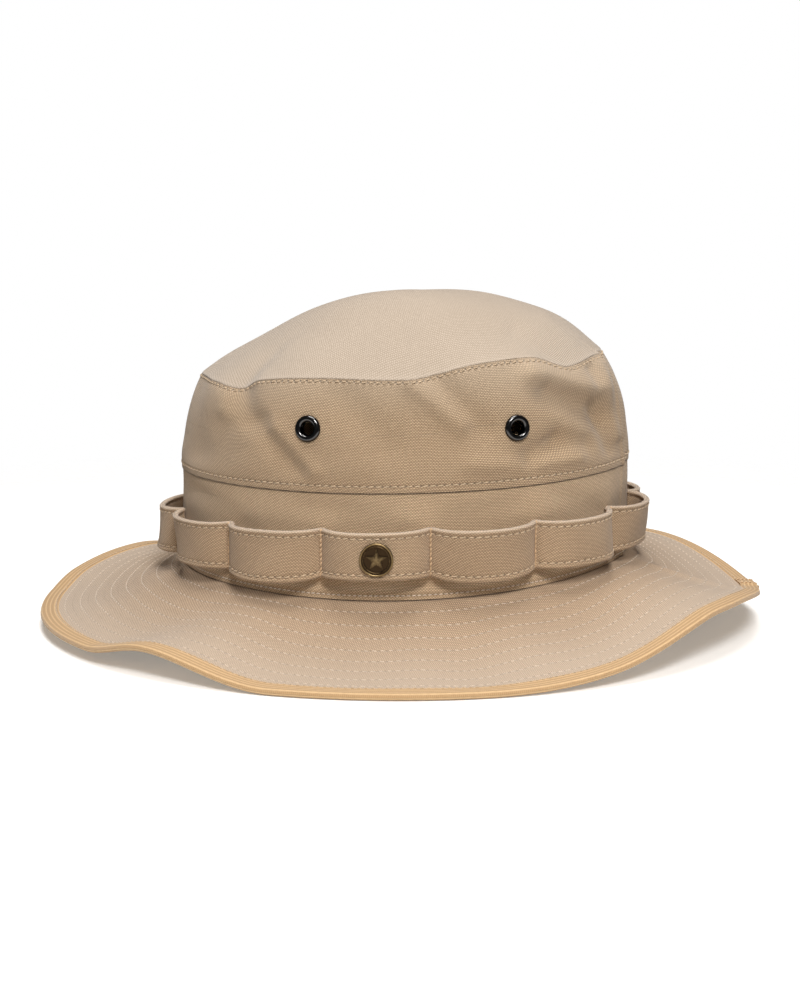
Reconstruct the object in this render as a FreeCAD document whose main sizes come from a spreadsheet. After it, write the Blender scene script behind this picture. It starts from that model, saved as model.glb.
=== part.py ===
import FreeCAD, Part
import math
import os
import Sketcher
from FreeCAD import Placement, Rotation, Vector

# A boonie hat. The crown is an oval of three cloth pieces: a domed tip, a tapering side with
# four vent eyelets, and an upright band. Round the band runs a strip of thirteen loops. The
# brim is a quilted sandwich of two skins and an interlining, bound along its edge.
# +Z is up, the front faces -Y and the wearer's left is +X. The origin is on the floor, under
# the middle of the brim. Sizes are in millimetres and degrees.

SIZES = {
    # Crown, outside
    "crown_length": 209.0,
    "crown_width": 173.0,
    "crown_back": 2.4,       # the crown stands this far behind the middle of the brim
    "side_length": 210.0,    # the side laps over the band a little
    "side_width": 174.0,
    "tip_length": 195.0,
    "tip_width": 160.0,
    "tip_shift": 11.5,       # the top of the dome leans back by this much
    "band_foot": 22.5,
    "band_top": 74.9,
    "tip_seam": 119.9,
    "crown_top": 154.0,
    "band_tilt": 1.4,
    "tip_tilt": 4.3,
    "crown_cloth": 1.5,
    "cloth_gap": 0.05,       # between pieces that lie against each other
    # Lining pieces
    "sweatband_height": 35.0,
    "sweatband_cloth": 1.2,
    "tape_width": 12.0,
    "tape_cloth": 0.8,
    "tape_set": 0.5,         # the straight back tape stands off the bent side by this
    "tape_clear": 2.0,
    "label_width": 26.0,
    "label_height": 16.0,
    "label_cloth": 0.6,
    # Brim, outside its binding
    "brim_length": 338.0,
    "brim_width": 300.0,
    "brim_root": 25.7,       # where the top of the brim meets the band, at the ears
    "root_back_rise": 2.86,
    "root_end_rise": 6.26,
    "brim_hollow": 1.8,      # above 1 the slope is steeper beside the crown
    "brim_skin": 0.7,
    "brim_core": 1.1,
    "binding_width": 8.2,
    "binding_cloth": 0.8,
    # Strip of loops
    "strip_foot": 36.2,
    "strip_height": 21.2,
    "strip_cloth": 2.0,
    "loop_bulge": 10.5,
    "loop_tack": -33.0,      # where one loop is tacked down, measured along the hat
    # Vent eyelets
    "eyelet_hole": 2.7,
    "eyelet_barrel": 3.1,
    "eyelet_rim": 5.2,
    "eyelet_roll": 1.0,
    "eyelet_length": 2.6,
    "washer_rim": 5.2,
    "washer_thickness": 0.5,
    "washer_set": 0.3,       # a flat washer stands off the bent cloth by this
    "vent_height": 98.4,
    "vent_front": -38.7,
    "vent_back": 49.6,
    # Stud on the strip
    "stud_post": 1.2,
    "stud_grip": 2.3,
    "stud_foot": 4.0,
    "stud_foot_thickness": 0.8,
    "stud_rim": 7.15,
    "stud_edge": 1.2,
    "stud_crown": 1.9,
    "stud_set": 0.35,        # the flat foot stands off the bent strip by this
}

# Height of the brim's edge above the floor, going round in degrees from the wearer's left
# ear (0) to the back (90), the right ear (180) and the front (-90).
EDGE_HEIGHTS = [
    (-155, 0.0), (-125, 15.0), (-105, 11.0), (-92, 6.5), (-53, 4.6), (-39, 10.9), (-18, 0.0),
    (12, 0.0), (31, 4.5), (50, 19.0), (60, 20.4), (93, 11.5), (128, 21.0), (165, 0.0),
]

LOOPS = 13
RING_POINTS = 72
ROUND = 360.0

doc = FreeCAD.newDocument("boonie_hat")
sheet = doc.addObject("Spreadsheet::Sheet", "Sizes")
for row, (alias, number) in enumerate(SIZES.items(), start=1):
    sheet.set(f"A{row}", alias)
    sheet.set(f"B{row}", str(number))
    sheet.setAlias(f"B{row}", alias)
doc.recompute()


def size(alias):
    return float(sheet.get(alias))


GAP = size("cloth_gap")


def part_body(name):
    body = doc.addObject("PartDesign::Body", name)
    body.Label = name
    return body


def part_feature(name, shape):
    feature = doc.addObject("Part::Feature", name)
    feature.Label = name
    feature.Shape = shape
    return feature


def origin_plane(body, role):
    return next(plane for plane in body.Origin.OriginFeatures if plane.Role == role)


def lying_sketch(body, name):
    sketch = body.newObject("Sketcher::SketchObject", name)
    sketch.AttachmentSupport = (origin_plane(body, "XY_Plane"), [""])
    sketch.MapMode = "FlatFace"
    return sketch


# ---------------------------------------------------------------- crown pieces

def oval_sketch(body, name, length, width, height, back, tilt):
    """An oval lying across the hat; every size is an expression on the sheet."""
    sketch = lying_sketch(body, name)
    sketch.AttachmentOffset = Placement(Vector(), Rotation(Vector(1, 0, 0), 1.0))
    start_length = 100.0
    start_width = 80.0
    sketch.addGeometry(Part.Ellipse(Vector(0, start_length, 0), Vector(start_width, 0, 0), Vector()), False)
    sketch.exposeInternalGeometry(0)
    long_axis = 1
    short_axis = 2
    sketch.addConstraint(Sketcher.Constraint("Coincident", 0, 3, -1, 1))
    sketch.addConstraint(Sketcher.Constraint("Vertical", long_axis))
    long_size = sketch.addConstraint(Sketcher.Constraint("Distance", long_axis, 2 * start_length))
    short_size = sketch.addConstraint(Sketcher.Constraint("Distance", short_axis, 2 * start_width))
    sketch.setExpression(f"Constraints[{long_size}]", length)
    sketch.setExpression(f"Constraints[{short_size}]", width)
    sketch.setExpression("AttachmentOffset.Base.y", back)
    sketch.setExpression("AttachmentOffset.Base.z", height)
    sketch.setExpression("AttachmentOffset.Rotation.Angle", tilt)
    return sketch


def loft(body, kind, name, sections):
    feature = body.newObject(f"PartDesign::{kind}Loft", name)
    feature.Profile = sections[0]
    feature.Sections = sections[1:]
    doc.recompute()
    return feature


def oval_wall(name, low, high, inset, cloth):
    """A ring of cloth between two ovals, each (length, width, height, tilt)."""
    body = part_body(name)
    for kind, inward in (("Additive", inset), ("Subtractive", f"{inset} + {cloth}")):
        sections = [
            oval_sketch(body, f"{name}_{kind}_{end}", f"{length} - 2 * ({inward})",
                        f"{width} - 2 * ({inward})", height, "Sizes.crown_back", tilt)
            for end, (length, width, height, tilt) in (("low", low), ("high", high))
        ]
        loft(body, kind, f"{name}_{kind}", sections)
    return body


def crown_tip():
    body = part_body("crown_tip")
    levels = (0.0, 0.2, 0.45, 0.7, 0.9, 0.98)
    for kind, inward in (("Additive", "0"), ("Subtractive", "Sizes.crown_cloth")):
        sections = []
        for number, level in enumerate(levels):
            spread = math.sqrt(1 - level)
            lean = 1 - (1 - level) ** 2
            sections.append(oval_sketch(
                body, f"tip_{kind}_{number}",
                f"(Sizes.tip_length - 2 * {inward}) * {spread}",
                f"(Sizes.tip_width - 2 * {inward}) * {spread}",
                f"Sizes.tip_seam + {level} * (Sizes.crown_top - Sizes.tip_seam) - {inward}",
                f"Sizes.crown_back + {lean} * Sizes.tip_shift",
                f"Sizes.tip_tilt * {1 - level}"))
        loft(body, kind, f"crown_tip_{kind}", sections)
    return body


BAND_OVAL = ("Sizes.crown_length", "Sizes.crown_width")
SIDE_OVAL = ("Sizes.side_length", "Sizes.side_width")
TIP_OVAL = ("Sizes.tip_length", "Sizes.tip_width")
BAND_FOOT = ("Sizes.band_foot", "Sizes.band_tilt")
BAND_TOP = ("Sizes.band_top", "Sizes.band_tilt")
TIP_SEAM = ("Sizes.tip_seam", "Sizes.tip_tilt")


def wall_point(along, height):
    """The outer face of the crown's side on the +X half, and its outward direction."""
    behind = along - size("crown_back")
    low = size("band_top") + behind * math.tan(math.radians(size("band_tilt")))
    high = size("tip_seam") + behind * math.tan(math.radians(size("tip_tilt")))
    rise = (height - low) / (high - low)
    half_length = (size("side_length") + rise * (size("tip_length") - size("side_length"))) / 2
    half_width = (size("side_width") + rise * (size("tip_width") - size("side_width"))) / 2
    reach = behind / half_length
    across = half_width * math.sqrt(1 - reach ** 2)
    lean = (size("side_width") - size("tip_width")) / 2 / (size("tip_seam") - size("band_top"))
    outward = Vector(across / half_width ** 2, reach / half_length, 0)
    outward.normalize()
    outward = outward + Vector(0, 0, lean)
    outward.normalize()
    return Vector(across, along, height), outward


def vent_places():
    """Name and placement of the four vents; local +Z points out of the crown."""
    places = {}
    for along, end in ((size("vent_front"), "front"), (size("vent_back"), "back")):
        for mirror, side in ((1, "left"), (-1, "right")):
            point, outward = wall_point(along, size("vent_height"))
            point = Vector(mirror * point.x, point.y, point.z)
            outward = Vector(mirror * outward.x, outward.y, outward.z)
            places[f"{side}_{end}"] = Placement(point, Rotation(Vector(0, 0, 1), outward))
    return places


def punch_vents(body):
    reach = 8.0
    for where, place in vent_places().items():
        before = body.Shape.Volume
        sketch = lying_sketch(body, f"vent_{where}")
        sketch.AttachmentOffset = place
        sketch.addGeometry(Part.Circle(Vector(), Vector(0, 0, 1), size("eyelet_barrel")), False)
        sketch.addConstraint(Sketcher.Constraint("Coincident", 0, 3, -1, 1))
        radius = sketch.addConstraint(Sketcher.Constraint("Radius", 0, size("eyelet_barrel")))
        sketch.setExpression(f"Constraints[{radius}]", "Sizes.eyelet_barrel + Sizes.cloth_gap")
        pocket = body.newObject("PartDesign::Pocket", f"punch_{where}")
        pocket.Profile = sketch
        pocket.Length = reach
        pocket.SideType = "Symmetric"
        doc.recompute()
        if body.Shape.Volume >= before:
            raise RuntimeError(f"vent {where} cuts nothing")


# ---------------------------------------------------------------- turned metal pieces

def turned_piece(name, corners, place):
    """A piece turned about its own Z axis; a corner is (radius alias or None, height alias or None)."""
    body = part_body(name)
    sketch = body.newObject("Sketcher::SketchObject", f"{name}_outline")
    sketch.AttachmentSupport = (origin_plane(body, "XZ_Plane"), [""])
    sketch.MapMode = "FlatFace"
    spots = []
    for radius, height in corners:
        across = size(radius) if radius else 0.0
        up = signed(height) if height else 0.0
        spots.append(Vector(across, up, 0))
    count = len(spots)
    for number in range(count):
        sketch.addGeometry(Part.LineSegment(spots[number], spots[(number + 1) % count]), False)
    for number in range(count):
        sketch.addConstraint(Sketcher.Constraint("Coincident", number, 2, (number + 1) % count, 1))
    for number, (radius, height) in enumerate(corners):
        if radius:
            pin = sketch.addConstraint(Sketcher.Constraint("DistanceX", -1, 1, number, 1, spots[number].x))
            sketch.setExpression(f"Constraints[{pin}]", f"Sizes.{radius}")
        else:
            sketch.addConstraint(Sketcher.Constraint("PointOnObject", number, 1, -2))
        if height:
            pin = sketch.addConstraint(Sketcher.Constraint("DistanceY", -1, 1, number, 1, spots[number].y))
            sign = "-" if height.startswith("-") else ""
            sketch.setExpression(f"Constraints[{pin}]", f"{sign}Sizes.{height.lstrip('-')}")
        else:
            sketch.addConstraint(Sketcher.Constraint("PointOnObject", number, 1, -1))
    turn = body.newObject("PartDesign::Revolution", f"{name}_turn")
    turn.Profile = sketch
    turn.ReferenceAxis = (sketch, ["V_Axis"])
    turn.Angle = ROUND
    body.Placement = place
    doc.recompute()
    return body


def signed(alias):
    return -size(alias[1:]) if alias.startswith("-") else size(alias)


def eyelets():
    for where, place in vent_places().items():
        turned_piece(f"eyelet_{where}", [
            ("eyelet_hole", "-eyelet_length"), ("eyelet_barrel", "-eyelet_length"),
            ("eyelet_barrel", None), ("eyelet_rim", None), ("eyelet_rim", "washer_thickness"),
            ("eyelet_barrel", "eyelet_roll"), ("eyelet_hole", "washer_thickness"),
        ], place)
        behind = Vector(0, 0, -size("crown_cloth") - size("washer_set"))
        turned_piece(f"eyelet_washer_{where}", [
            ("eyelet_barrel", "-washer_thickness"), ("washer_rim", "-washer_thickness"),
            ("washer_rim", None), ("eyelet_barrel", None),
        ], place.multiply(Placement(behind, Rotation())))


# ---------------------------------------------------------------- strip of loops

def band_spot(turn, outward):
    """A point round the band, turn in radians from the left ear, outward from its face."""
    half_length = size("crown_length") / 2
    half_width = size("crown_width") / 2
    spot = Vector(half_width * math.cos(turn), half_length * math.sin(turn), 0)
    away = Vector(math.cos(turn) / half_width, math.sin(turn) / half_length, 0)
    away.normalize()
    return spot + away * outward


def tack_turns():
    """Where the strip is tacked down: evenly spaced along the band's outline."""
    steps = 3600
    start = math.asin((size("loop_tack") - size("crown_back")) / (size("crown_length") / 2))
    turns = [start + 2 * math.pi * step / steps for step in range(steps + 1)]
    travelled = [0.0]
    for before, after in zip(turns, turns[1:]):
        travelled.append(travelled[-1] + (band_spot(after, 0) - band_spot(before, 0)).Length)
    tacks = []
    for number in range(LOOPS):
        wanted = travelled[-1] * number / LOOPS
        nearest = min(range(steps), key=lambda step: abs(travelled[step] - wanted))
        tacks.append(turns[nearest])
    return tacks


def loop_outline(clear):
    """One scalloped outline of the strip: an arc from tack to tack, clear of the band at each."""
    tacks = tack_turns()
    tacks.append(tacks[0] + 2 * math.pi)
    arcs = []
    for start, end in zip(tacks, tacks[1:]):
        first = band_spot(start, clear)
        last = band_spot(end, clear)
        top = band_spot((start + end) / 2, size("loop_bulge") - size("strip_cloth") + clear)
        arcs.append(Part.Arc(first, top, last).toShape())
    return Part.Wire(arcs)


def strip_place():
    base = Vector(0, size("crown_back"), size("strip_foot"))
    return Placement(base, Rotation(Vector(1, 0, 0), size("band_tilt")))


def stud_place():
    """The middle of the loop that follows the driving tack; local +Z points outward."""
    tacks = tack_turns()
    middle = (tacks[0] + tacks[1]) / 2
    spot = band_spot(middle, size("loop_bulge") + GAP)
    outward = spot - band_spot(middle, 0)
    half_up = Vector(0, 0, size("strip_height") / 2)
    local = Placement(spot + half_up, Rotation(Vector(0, 0, 1), outward))
    return strip_place().multiply(local)


def loop_strip():
    inner = Part.Face(loop_outline(GAP))
    outer = Part.Face(loop_outline(GAP + size("strip_cloth")))
    upright = Rotation(Vector(1, 0, 0), -size("band_tilt")).multVec(Vector(0, 0, size("strip_height")))
    strip = outer.cut(inner).extrude(upright)
    strip.Placement = strip_place()
    place = stud_place()
    drill = Part.makeCylinder(size("stud_post") + GAP, 3 * size("strip_cloth"),
                              place.multVec(Vector(0, 0, size("strip_cloth"))),
                              place.Rotation.multVec(Vector(0, 0, -1)))
    return part_feature("loop_strip", strip.cut(drill))


def stud():
    place = stud_place()
    turned_piece("stud_cap", [
        (None, None), ("stud_rim", None), ("stud_rim", "stud_edge"), (None, "stud_crown"),
    ], place)
    behind = place.multiply(Placement(Vector(0, 0, -size("strip_cloth") - size("stud_set")), Rotation()))
    turned_piece("stud_post", [
        (None, "-stud_foot_thickness"), ("stud_foot", "-stud_foot_thickness"), ("stud_foot", None),
        ("stud_post", None), ("stud_post", "stud_grip"), (None, "stud_grip"),
    ], behind)


# ---------------------------------------------------------------- brim pieces

def edge_height(angle):
    """Smooth curve through EDGE_HEIGHTS, closed round the hat."""
    knots = EDGE_HEIGHTS
    knots = [(knots[-1][0] - ROUND, knots[-1][1])] + knots
    knots = knots + [(turn + ROUND, height) for turn, height in EDGE_HEIGHTS[:3]]
    while angle < knots[1][0]:
        angle += ROUND
    while angle >= knots[1][0] + ROUND:
        angle -= ROUND
    place = max(number for number in range(1, len(knots) - 1) if knots[number][0] <= angle)
    (before, low), (start, first), (end, last), (after, high) = knots[place - 1:place + 3]
    share = (angle - start) / (end - start)
    leave = (last - low) / (end - before) * (end - start) if (last - first) * (first - low) > 0 else 0.0
    arrive = (high - first) / (after - start) * (end - start) if (high - last) * (last - first) > 0 else 0.0
    return (first * (1 - 3 * share ** 2 + 2 * share ** 3) + last * (3 * share ** 2 - 2 * share ** 3)
            + leave * (share - 2 * share ** 2 + share ** 3) + arrive * (share ** 3 - share ** 2))


def brim_middle(angle, share):
    """The brim's middle layer: share runs from 0 at the crown to 1 at the bound edge."""
    turn = math.radians(angle)
    half_sandwich = size("brim_core") / 2 + size("brim_skin")
    root_length = size("crown_length") / 2 + GAP
    root_width = size("crown_width") / 2 + GAP
    root = Vector(root_width * math.cos(turn), size("crown_back") + root_length * math.sin(turn), 0)
    edge = Vector(size("brim_width") / 2 * math.cos(turn), size("brim_length") / 2 * math.sin(turn), 0)
    rise = size("root_back_rise") * math.sin(turn) + size("root_end_rise") * math.sin(turn) ** 2
    high = size("brim_root") + rise - half_sandwich
    low = edge_height(angle) + half_sandwich + size("binding_cloth")
    spot = root + (edge - root) * share
    return spot + Vector(0, 0, low + (high - low) * max(0.0, 1 - share) ** size("brim_hollow"))


def brim_point(angle, share, lift):
    """A point off the middle layer, square to its slope, or straight up beside the band."""
    if share == 0:
        return brim_middle(angle, share) + Vector(0, 0, lift)
    step = 0.01
    near = brim_middle(angle, max(0.0, share - step))
    slope = brim_middle(angle, min(1.0, share + step)) - near
    run = math.hypot(slope.x, slope.y)
    square = Vector(-slope.z * slope.x / run, -slope.z * slope.y / run, run)
    square.normalize()
    return brim_middle(angle, share) + square * lift


def closed_curve(points):
    curve = Part.BSplineCurve()
    curve.interpolate(Points=points, PeriodicFlag=True)
    return curve.toShape()


def brim_ring(name, section):
    """A ring round the hat; its section is a closed list of (share, lift) corners."""
    angles = [ROUND * step / RING_POINTS for step in range(RING_POINTS)]
    curves = [closed_curve([brim_point(angle, share, lift) for angle in angles]) for share, lift in section]
    faces = [Part.makeRuledSurface(one, other) for one, other in zip(curves, curves[1:] + curves[:1])]
    shell = Part.Shell(faces)
    shell.sewShape()
    solid = Part.Solid(shell)
    if solid.Volume < 0:
        solid.reverse()
    return part_feature(name, solid)


def brim():
    across = (size("brim_width") - size("crown_width")) / 2
    cloth_edge = 1 - size("binding_cloth") / across
    binding_start = 1 - size("binding_width") / across
    core = size("brim_core") / 2
    skin = core + size("brim_skin")
    shares = (0.0, 0.15, 0.32, 0.5, 0.68, binding_start, cloth_edge)

    def layer(name, bottom, top):
        section = [(share, top) for share in shares]
        section += [(share, bottom) for share in reversed(shares)]
        brim_ring(name, section)

    layer("brim_top", core + GAP, skin)
    layer("brim_interlining", -core, core)
    layer("brim_bottom", -skin, -core - GAP)
    inner = skin + GAP
    outer = skin + size("binding_cloth")
    brim_ring("brim_binding", [
        (binding_start, outer), (cloth_edge, outer), (1.0, core), (1.0, -core),
        (cloth_edge, -outer), (binding_start, -outer), (binding_start, -inner),
        (cloth_edge + GAP / across, -inner), (cloth_edge + GAP / across, inner), (binding_start, inner),
    ])


# ---------------------------------------------------------------- linings at the back

def seam_tape_back():
    """A straight tape inside the crown's side, over the closing seam at the back."""
    tape = doc.addObject("Part::Box", "back_seam_tape")
    tape.Label = "back_seam_tape"
    tape.setExpression("Length", "Sizes.tape_width")
    tape.setExpression("Width", "Sizes.tape_cloth")
    seam_back = size("tip_seam") + size("tip_length") / 2 * math.tan(math.radians(size("tip_tilt")))
    foot = size("band_foot") + size("sweatband_height") + size("tape_clear")
    band_back = size("band_top") + size("side_length") / 2 * math.tan(math.radians(size("band_tilt")))
    lean = (size("side_length") - size("tip_length")) / 2 / (seam_back - band_back)
    rise = seam_back - size("tape_width") - band_back - size("tape_clear")
    tape.Height = rise / math.cos(math.atan(lean))
    inset = size("crown_cloth") + size("tape_cloth") + size("tape_set")
    base = Vector(-size("tape_width") / 2, size("crown_back") + size("side_length") / 2 - inset, band_back)
    tape.Placement = Placement(base, Rotation(Vector(1, 0, 0), math.degrees(math.atan(lean))))
    if foot > band_back:
        raise RuntimeError("the back tape reaches into the sweatband")


def size_label():
    """A blank label on the back of the sweatband, bent to its curve."""
    inset = size("crown_cloth") + size("sweatband_cloth") + 2 * GAP
    half_length = size("crown_length") / 2 - inset
    half_width = size("crown_width") / 2 - inset
    bend = half_width ** 2 / half_length
    body = part_body("size_label")
    sketch = lying_sketch(body, "label_outline")
    half_turn = math.asin(size("label_width") / 2 / bend)
    middle = math.pi / 2
    centre = Vector(0, size("crown_back") + half_length - bend - GAP, 0)
    arcs = []
    for radius in (bend, bend - size("label_cloth")):
        circle = Part.Circle(centre, Vector(0, 0, 1), radius)
        arcs.append(Part.ArcOfCircle(circle, middle - half_turn, middle + half_turn))
    sketch.addGeometry(arcs, False)
    for end in (1, 2):
        ends = [arc.StartPoint if end == 1 else arc.EndPoint for arc in arcs]
        side = sketch.addGeometry(Part.LineSegment(ends[0], ends[1]), False)
        sketch.addConstraint(Sketcher.Constraint("Coincident", 0, end, side, 1))
        sketch.addConstraint(Sketcher.Constraint("Coincident", 1, end, side, 2))
    pad = body.newObject("PartDesign::Pad", "label_pad")
    pad.Profile = sketch
    pad.setExpression("Length", "Sizes.label_height")
    body.Placement = Placement(Vector(0, 0, size("band_foot") + size("sweatband_height") / 2), Rotation())
    doc.recompute()


crown_tip()
side = oval_wall("crown_side", SIDE_OVAL + BAND_TOP, TIP_OVAL + TIP_SEAM, "0", "Sizes.crown_cloth")
punch_vents(side)
oval_wall("crown_band", BAND_OVAL + BAND_FOOT, BAND_OVAL + BAND_TOP, "0", "Sizes.crown_cloth")
oval_wall("sweatband", BAND_OVAL + BAND_FOOT,
          BAND_OVAL + ("Sizes.band_foot + Sizes.sweatband_height", "Sizes.band_tilt"),
          "Sizes.crown_cloth + Sizes.cloth_gap", "Sizes.sweatband_cloth")
oval_wall("tip_seam_tape",
          TIP_OVAL + ("Sizes.tip_seam - Sizes.tape_width", "Sizes.tip_tilt"), TIP_OVAL + TIP_SEAM,
          "Sizes.crown_cloth + Sizes.cloth_gap", "Sizes.tape_cloth")
eyelets()
loop_strip()
stud()
brim()
seam_tape_back()
size_label()
doc.recompute()

SUBPARTS = ("PartDesign::Body", "Part::Feature", "Part::Box")
for item in doc.Objects:
    if "Invalid" in item.State or "Error" in item.State:
        raise RuntimeError(f"{item.Name} did not recompute: {item.State}")
subparts = [item for item in doc.Objects if item.TypeId in SUBPARTS and item.getParentGroup() is None]
for item in subparts:
    if item.Shape.isNull() or not item.Shape.isValid():
        raise RuntimeError(f"{item.Label} has no valid shape")

os.makedirs("parts", exist_ok=True)
for item in subparts:
    item.Shape.exportStep(f"parts/{item.Label}.step")
    print(item.Label, len(item.Shape.Solids), round(item.Shape.Volume))
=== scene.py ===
import math
import bmesh
import bpy
import numpy as np
from mathutils import Matrix, Vector


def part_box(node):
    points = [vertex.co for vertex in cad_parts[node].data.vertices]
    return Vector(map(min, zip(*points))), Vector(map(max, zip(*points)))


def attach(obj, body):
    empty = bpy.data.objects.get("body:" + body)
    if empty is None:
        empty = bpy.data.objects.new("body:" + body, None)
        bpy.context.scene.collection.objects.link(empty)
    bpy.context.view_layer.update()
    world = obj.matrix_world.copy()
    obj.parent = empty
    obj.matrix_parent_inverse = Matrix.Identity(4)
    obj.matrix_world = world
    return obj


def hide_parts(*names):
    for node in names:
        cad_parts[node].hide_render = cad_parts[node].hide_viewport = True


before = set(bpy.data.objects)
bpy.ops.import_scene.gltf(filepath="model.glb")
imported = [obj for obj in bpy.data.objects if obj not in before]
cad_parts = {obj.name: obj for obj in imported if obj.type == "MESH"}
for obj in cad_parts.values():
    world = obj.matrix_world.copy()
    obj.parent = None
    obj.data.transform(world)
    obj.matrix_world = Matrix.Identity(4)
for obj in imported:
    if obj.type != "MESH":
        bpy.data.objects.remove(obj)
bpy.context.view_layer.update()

mm = 0.001
ROUND = 2 * math.pi

# ---------------------------------------------------------------- sizes, from the frame

band_low, band_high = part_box("crown_band")
_, tip_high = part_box("crown_tip")
_, edge_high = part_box("brim_binding")

CROWN_BACK = (band_low.y + band_high.y) / 2
BAND = ((band_high.y - band_low.y) / 2, band_high.x)          # half length, half width
SIDE = (BAND[0] - 0.6 * mm, BAND[1] - 0.4 * mm)
TIP = (92.8 * mm, tip_high.x)
TIP_BACK = 1.0 * mm
BRIM = (edge_high.y, edge_high.x)
DOME_TOP = Vector((0.0, 11.0 * mm, tip_high.z + 1.2 * mm))

CROWN_CLOTH = 0.9 * mm
BRIM_CLOTH = 0.7 * mm
HALF_BRIM = 1.05 * mm                                         # half of the brim's three layers
BINDING_WIDTH = 8.2 * mm
BINDING_CLOTH = 0.5 * mm
BRIM_STITCH = 3.4 * mm
ROW_START = 6.0 * mm
ROW_GAP = 7.0 * mm
STRIP_HEIGHT = 21.3 * mm
STRIP_CLOTH = 2.0 * mm
STRIP_STITCH = 3.35 * mm
STRIP_FOOT = 36.2 * mm
STRIP_TILT = math.tan(math.radians(1.4))
LOOPS = 13
LOOP_BULGE = 9.6 * mm
LOOP_TACK = -33.0 * mm                                        # where the first loop starts, on the left
TACK_LIFT = 1.3 * mm
VENTS = {end: (sum(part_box(f"eyelet_left_{end}"), Vector()) / 2).yz for end in ("front", "back")}
EYELET_HOLE = 2.9 * mm
EYELET_RIM = 5.7 * mm

# Heights above the floor, in millimetres, going round in degrees from the wearer's left ear
# (0) to the back (90), the right ear (180) and the front (-90).
EDGE_HEIGHTS = [
    (-155, 0.0), (-125, 15.0), (-105, 11.0), (-92, 6.5), (-53, 4.6), (-39, 10.9), (-18, 0.0),
    (12, 0.0), (31, 4.5), (50, 19.0), (60, 20.4), (93, 11.5), (128, 21.0), (165, 0.0),
]
TIP_SEAM_HEIGHTS = [
    (-135, 116.0), (-90, 115.8), (-62, 115.0), (-51, 112.9), (-42, 117.4), (-24, 119.6), (3, 119.9),
    (19, 125.6), (36, 127.8), (50, 122.8), (66, 126.0), (90, 126.5), (130, 125.0), (180, 120.3),
]

# Folds: start and end (mm along the hat and up), half width, outward bulge, and ear (1 left).
SIDE_FOLDS = [
    ((5, 118), (26, 101), 4.5, 2.3, 1), ((14, 120), (36, 98), 5.5, -2.1, 1),
    ((-53, 97), (-37, 80), 4.5, 2.0, 1), ((-60, 100), (-43, 81), 5.0, -2.1, 1),
    ((-77, 108), (-77, 104), 5.0, 1.8, 1), ((-68, 112), (-66, 100), 5.0, -2.0, 1),
    ((56, 122), (86, 112), 5.0, 4.3, 1), ((64, 113), (90, 100), 6.0, -4.2, 1),
    ((56, 87), (68, 92), 4.5, -2.4, 1), ((68, 92), (82, 89), 4.5, -2.2, 1),
    ((60, 82), (77, 83), 4.0, 2.0, 1), ((-24, 110), (-5, 92), 8.0, -1.4, 1),
    ((89, 122), (98, 90), 2.6, 1.7, 1), ((84, 120), (93, 84), 3.0, -1.6, 1),
    ((-92, 112), (-90, 84), 6.0, -1.2, 1), ((30, 84), (50, 82), 4.0, 1.2, 1),
    ((-60, 117), (-38, 98), 5.5, -1.5, -1), ((-70, 110), (-52, 92), 6.0, 1.3, -1),
    ((30, 122), (52, 100), 6.0, 1.6, -1), ((42, 122), (66, 98), 6.0, -1.7, -1),
    ((-10, 92), (14, 84), 5.0, 1.0, -1), ((70, 112), (86, 98), 6.0, 1.8, -1),
]
TIP_FOLDS = [
    ((63, 128), (50, 137), 5.0, -1.6, 1), ((78, 132), (66, 142), 5.0, 1.2, 1),
    ((-70, 116), (-58, 124), 9.0, -1.6, 1), ((-46, 119), (-30, 124), 10.0, 0.8, 1),
    ((14, 124), (2, 138), 7.0, -1.0, 1), ((-64, 118), (-52, 126), 9.0, -1.4, -1),
    ((30, 126), (22, 142), 7.0, 1.2, -1), ((66, 128), (48, 140), 6.0, -1.4, -1),
]
BAND_FOLDS = [
    ((-92, 66), (-70, 56), 6.0, -1.0, 1), ((-40, 66), (-10, 61), 7.0, -0.9, 1),
    ((20, 62), (48, 66), 6.0, -1.0, 1), ((70, 68), (88, 60), 5.0, -1.0, 1),
    ((-60, 64), (-30, 60), 7.0, -1.0, -1), ((30, 62), (70, 66), 7.0, -1.0, -1),
]

# Soft waves running out across the brim: where (degrees), half width (degrees), height (mm).
BRIM_WAVES = [
    (-70, 9, 1.2), (-44, 7, -1.6), (-30, 6, 1.6), (-8, 9, -1.0), (10, 5, -1.6), (22, 6, 2.0), (40, 7, -1.2),
    (60, 6, 1.4), (74, 2.5, 1.6), (84, 6, -1.0), (120, 10, 1.5), (150, 9, -1.4), (200, 10, 1.3),
    (235, 9, -1.5),
]


# ---------------------------------------------------------------- curves and surfaces

def through(knots, turn):
    """A smooth closed curve through (degrees, value) knots, read at turns in radians."""
    places = np.array([place for place, value in knots], float)
    values = np.array([value for place, value in knots], float)
    start = places[0]
    places = np.concatenate((places - 360, places, places + 360))
    values = np.tile(values, 3)
    steps = np.diff(values)
    slopes = np.zeros(len(values))
    slopes[1:-1] = (values[2:] - values[:-2]) / (places[2:] - places[:-2])
    slopes[1:-1][steps[:-1] * steps[1:] <= 0] = 0.0
    degrees = (np.degrees(turn) - start) % 360 + start
    left = np.searchsorted(places, degrees, side="right") - 1
    gap = places[left + 1] - places[left]
    share = (degrees - places[left]) / gap
    return (values[left] * (1 - 3 * share ** 2 + 2 * share ** 3)
            + values[left + 1] * (3 * share ** 2 - 2 * share ** 3)
            + slopes[left] * gap * (share - 2 * share ** 2 + share ** 3)
            + slopes[left + 1] * gap * (share ** 3 - share ** 2))


def ease(share):
    """0 below 0, 1 above 1, and smooth between."""
    share = np.clip(share, 0, 1)
    return share * share * (3 - 2 * share)


def bell(value, middle, width):
    """A smooth hump: 1 at its middle, fading out over its width."""
    return np.exp(-((value - middle) / width) ** 2)


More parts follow.
